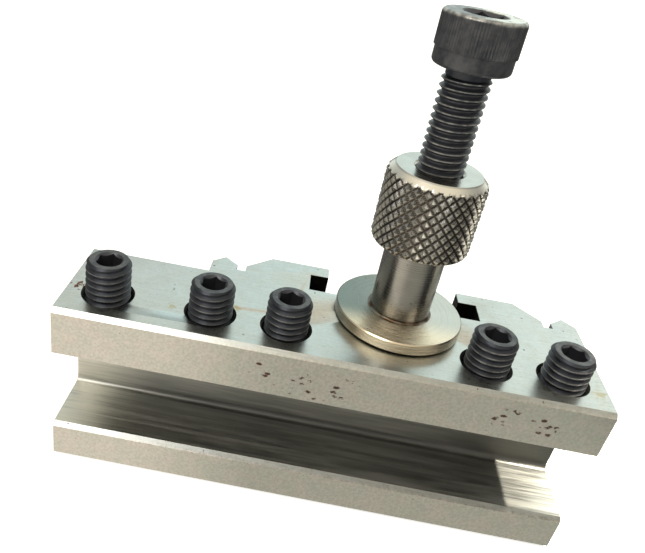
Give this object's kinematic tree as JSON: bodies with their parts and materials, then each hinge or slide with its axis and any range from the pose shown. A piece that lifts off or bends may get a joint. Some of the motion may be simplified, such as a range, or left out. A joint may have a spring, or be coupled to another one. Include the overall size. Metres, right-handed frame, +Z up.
{
  "type": "lathe tool post holder",
  "caption": "Quick-change holder for a lathe tool post: milled steel body with tool channel, T slot and vee teeth, socket clamping screws and a knurled height nut on a cap screw.",
  "frame": {"origin": "middle of the holder's outline in plan, on its underside", "axes": "+X along the body towards the end where the clamping block is flush, +Y towards the clamping side that meets the tool post, +Z up along the screws"},
  "size_m": [0.0968, 0.0308, 0.0895],
  "materials": {
    "ground_steel": "milled and ground bare steel, light rust specks",
    "turned_steel": "turned and knurled bare steel",
    "blackened_steel": "black oxide, oiled, crests worn bright"
  },
  "bodies": {
    "holder": {"holder_body": "ground_steel", "cap_screw": "blackened_steel"},
    "nut": {"height_nut": "turned_steel"},
    "screw_1": {"clamping_screw_1": "blackened_steel"},
    "screw_2": {"clamping_screw_2": "blackened_steel"},
    "screw_3": {"clamping_screw_3": "blackened_steel"},
    "screw_4": {"clamping_screw_4": "blackened_steel"},
    "screw_5": {"clamping_screw_5": "blackened_steel"}
  },
  "joints": [
    {"name": "nut_travel", "type": "slide", "parent": "holder", "child": "nut", "axis": [0, 0, 1], "range_m": [-0.0002, 0.016]},
    {"name": "screw_1_travel", "type": "slide", "parent": "holder", "child": "screw_1", "axis": [0, 0, 1], "range_m": [-0.012, 0.004]},
    {"name": "screw_2_travel", "type": "slide", "parent": "holder", "child": "screw_2", "axis": [0, 0, 1], "range_m": [-0.012, 0.004]},
    {"name": "screw_3_travel", "type": "slide", "parent": "holder", "child": "screw_3", "axis": [0, 0, 1], "range_m": [-0.012, 0.004]},
    {"name": "screw_4_travel", "type": "slide", "parent": "holder", "child": "screw_4", "axis": [0, 0, 1], "range_m": [-0.012, 0.004]},
    {"name": "screw_5_travel", "type": "slide", "parent": "holder", "child": "screw_5", "axis": [0, 0, 1], "range_m": [-0.012, 0.004]}
  ]
}
